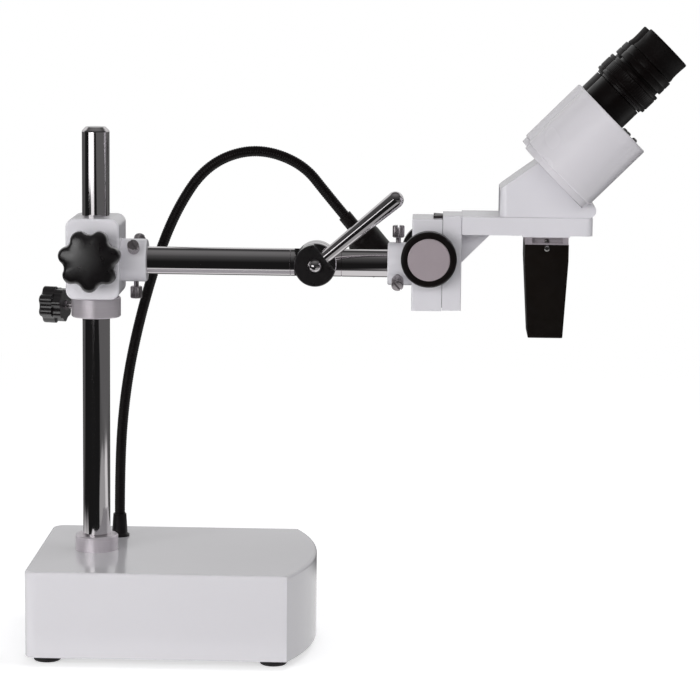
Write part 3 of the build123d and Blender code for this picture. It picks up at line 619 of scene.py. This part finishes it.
# name, place, size, target, power in watts, and whether polished metal mirrors it
SOFT_BOXES = (
    ("key", (-1.25, -1.2, 0.93), (0.9, 1.6), (0, 0, 0.6), 3, False),
    ("window", (-0.86, -1.7, 0.2), (0.85, 0.3), (-0.86, 0, 0.2), 0.8, True),
    ("panel", (-1.25, -2.1, 0.7), (1.0, 0.9), (-0.1, 0, 0.4), 6, False),
    ("edge", (-1.75, -1.6, 0.6), (0.4, 0.9), (-0.2, 0, 0.35), 8, False),
    ("sheen", (-1.5, -1.9, 0.6), (1.7, 0.9), (-0.15, 0, 0.35), 7, True),
    ("front", (0.1, -2.6, 1.2), (2.0, 0.7), (0, 0, 0.25), 18, False),
    ("fill", (1.7, -0.6, 0.9), (0.5, 1.2), (0, 0, 0.4), 3, False),
    ("top", (0.8, 0.3, 2.0), (1.6, 1.0), (0, 0, 0.25), 14, False),
    ("back", (-0.3, 2.6, 1.3), (2.4, 1.0), (0, 0, 0.25), 14, False),
)
CAMERA_LENS = 144.0
CAMERA_PLACE = Vector((0.0644, -2.2172, 0.5702))
CAMERA_AZIMUTH, CAMERA_PITCH, CAMERA_ROLL = 1.7403, 8.4466, 0.59


def build_floor():
    """A pale floor that fades into the white surround."""
    mesh = bmesh.new()
    bmesh.ops.create_circle(mesh, cap_ends=True, radius=FLOOR_SIZE, segments=96)
    data = bpy.data.meshes.new("floor")
    mesh.to_mesh(data)
    mesh.free()
    m = Material("pale_floor")
    m.set(Base_Color=(0.86, 0.86, 0.87, 1), Roughness=0.9, Specular_IOR_Level=0.1)
    lit = m.shader.outputs["BSDF"]
    axes = m.add("ShaderNodeSeparateXYZ")
    m.link(m.place, axes.inputs["Vector"])
    distance = m.add("ShaderNodeVectorMath", operation="LENGTH")
    m.link(m.place, distance.inputs[0])

    def glow(strength):
        node = m.add("ShaderNodeEmission")
        node.inputs["Strength"].default_value = strength
        return node.outputs["Emission"]

    def mix(factor, first, second):
        node = m.add("ShaderNodeMixShader")
        m.link(factor, node.inputs["Fac"])
        m.link(first, node.inputs[1])
        m.link(second, node.inputs[2])
        return node.outputs["Shader"]

    def fade(value, low, high):
        node = m.add("ShaderNodeMapRange", interpolation_type="SMOOTHSTEP")
        node.inputs["From Min"].default_value = low
        node.inputs["From Max"].default_value = high
        m.link(value, node.inputs["Value"])
        return node.outputs["Result"]

    bright = m.add("ShaderNodeAddShader")
    m.link(lit, bright.inputs[0])
    m.link(glow(FLOOR_GLOW), bright.inputs[1])
    seen = mix(fade(distance.outputs["Value"], 0.35, 1.6), bright.outputs["Shader"], glow(1.0))
    # polished metal sees a dark room in front that turns grey to the right, a white table top, a grey
    # room behind and far to the right, and a lighter spot on the right in front
    aside = m.add("ShaderNodeVectorMath", operation="DOT_PRODUCT")
    aside.inputs[1].default_value = (0.819, 0.574, 0)
    m.link(m.place, aside.inputs[0])
    room = mix(fade(aside.outputs["Value"], -0.24, -0.06), glow(ROOM_DARK), glow(ROOM_GREY))
    table = m.add("ShaderNodeMath", operation="MULTIPLY")
    m.link(fade(axes.outputs["Y"], -0.19, -0.15), table.inputs[0])
    m.link(fade(axes.outputs["X"], -0.75, -0.55), table.inputs[1])
    room = mix(table.outputs["Value"], room, glow(TABLE_GLOW))
    room = mix(fade(axes.outputs["Y"], 0.21, 0.3), room, glow(ROOM_BACK))
    room = mix(fade(axes.outputs["X"], 0.62, 0.75), room, glow(ROOM_RIGHT))
    spot = m.add("ShaderNodeVectorMath", operation="DISTANCE")
    m.link(m.place, spot.inputs[0])
    spot.inputs[1].default_value = SPOT_PLACE
    room = mix(fade(spot.outputs["Value"], 0.24, 0.32), glow(SPOT_GLOW), room)
    ray = m.add("ShaderNodeLightPath")
    others = mix(ray.outputs["Is Glossy Ray"], lit, room)
    m.link(mix(ray.outputs["Is Camera Ray"], others, seen),
           m.tree.nodes["Material Output"].inputs["Surface"])
    data.materials.append(m.material)
    floor = bpy.data.objects.new("floor", data)
    bpy.context.scene.collection.objects.link(floor)


def build_surround():
    """A white surround for the camera and a darker studio for what the metal reflects."""
    world = bpy.data.worlds.new("studio")
    bpy.context.scene.world = world
    world.use_nodes = True
    tree = world.node_tree
    tree.nodes.clear()

    def add(kind, **settings):
        node = tree.nodes.new(kind)
        for key, value in settings.items():
            setattr(node, key, value)
        return node
    where = add("ShaderNodeTexCoord")
    split = add("ShaderNodeSeparateXYZ")
    tree.links.new(where.outputs["Generated"], split.inputs["Vector"])

    def ramp(value, stops):
        """Greys along an axis of the direction, from -1 to 1."""
        level = add("ShaderNodeMapRange")
        level.inputs["From Min"].default_value = -1
        level.inputs["From Max"].default_value = 1
        tree.links.new(value, level.inputs["Value"])
        node = add("ShaderNodeValToRGB")
        elements = node.color_ramp.elements
        elements[0].position, elements[1].position = stops[0][0], stops[-1][0]
        for element, (_, tone) in ((elements[0], stops[0]), (elements[1], stops[-1])):
            element.color = (tone, tone, tone, 1)
        for position, tone in stops[1:-1]:
            elements.new(position).color = (tone, tone, tone, 1)
        tree.links.new(level.outputs["Result"], node.inputs["Fac"])
        return node.outputs["Color"]
    sky = ramp(split.outputs["Z"], ((0.5, 0.012), (0.62, 0.03), (0.85, 0.08), (1.0, 0.19)))
    wall = ramp(split.outputs["Z"], ((0.5, 0.55), (0.8, 0.8), (0.88, 0.1), (1.0, 0.0)))
    behind = ramp(split.outputs["Y"], ((0.55, 0.0), (0.72, 1.0)))
    back = add("ShaderNodeMix", data_type="RGBA")
    tree.links.new(behind, back.inputs["Factor"])
    tree.links.new(sky, back.inputs[6])
    tree.links.new(wall, back.inputs[7])
    studio = add("ShaderNodeBackground")
    tree.links.new(back.outputs[2], studio.inputs["Color"])
    studio.inputs["Strength"].default_value = 1.0
    ambient = add("ShaderNodeBackground")
    ambient.inputs["Color"].default_value = (AMBIENT, AMBIENT, AMBIENT * 1.02, 1)
    white = add("ShaderNodeBackground")
    white.inputs["Color"].default_value = (1, 1, 1, 1)
    ray = add("ShaderNodeLightPath")
    polished = add("ShaderNodeMixShader")
    tree.links.new(ray.outputs["Is Glossy Ray"], polished.inputs["Fac"])
    tree.links.new(ambient.outputs["Background"], polished.inputs[1])
    tree.links.new(studio.outputs["Background"], polished.inputs[2])
    choose = add("ShaderNodeMixShader")
    tree.links.new(ray.outputs["Is Camera Ray"], choose.inputs["Fac"])
    tree.links.new(polished.outputs["Shader"], choose.inputs[1])
    tree.links.new(white.outputs["Background"], choose.inputs[2])
    output = add("ShaderNodeOutputWorld")
    tree.links.new(choose.outputs["Shader"], output.inputs["Surface"])


def soft_box(name, place, size, target, power, mirrored):
    """A soft light; only a mirrored one shows itself in polished metal."""
    light = bpy.data.lights.new(name, "AREA")
    light.shape = "RECTANGLE"
    light.size, light.size_y = size
    light.energy = power
    holder = bpy.data.objects.new(name, light)
    bpy.context.scene.collection.objects.link(holder)
    holder.visible_glossy = mirrored
    aim = Vector(target) - Vector(place)
    holder.matrix_world = Matrix.Translation(place) @ aim.to_track_quat("-Z", "Y").to_matrix().to_4x4()


def build_camera():
    azimuth, pitch, roll = (math.radians(v) for v in (CAMERA_AZIMUTH, CAMERA_PITCH, CAMERA_ROLL))
    forward = Vector((-math.sin(azimuth) * math.cos(pitch), math.cos(azimuth) * math.cos(pitch),
                      -math.sin(pitch)))
    level = Vector((math.cos(azimuth), math.sin(azimuth), 0))
    above = level.cross(forward)
    right = level * math.cos(roll) + above * math.sin(roll)
    up = right.cross(forward)
    data = bpy.data.cameras.new("camera")
    data.lens, data.sensor_width = CAMERA_LENS, 36
    data.clip_start, data.clip_end = 0.01, 100
    camera = bpy.data.objects.new("camera", data)
    bpy.context.scene.collection.objects.link(camera)
    turn = Matrix((right, up, -forward)).transposed().to_4x4()
    camera.matrix_world = Matrix.Translation(CAMERA_PLACE) @ turn
    bpy.context.scene.camera = camera


# ---------------------------------------------------------------- everything

build_camera()
build_thumbscrews()
build_clamp_knob()
build_focus_knobs()
build_eyepieces()
build_drum_screws()
build_drum_skirts()
build_mount_screws()
build_gooseneck()
build_floor()
build_surround()
for light in SOFT_BOXES:
    soft_box(*light)
bpy.context.scene.view_settings.view_transform = "Standard"
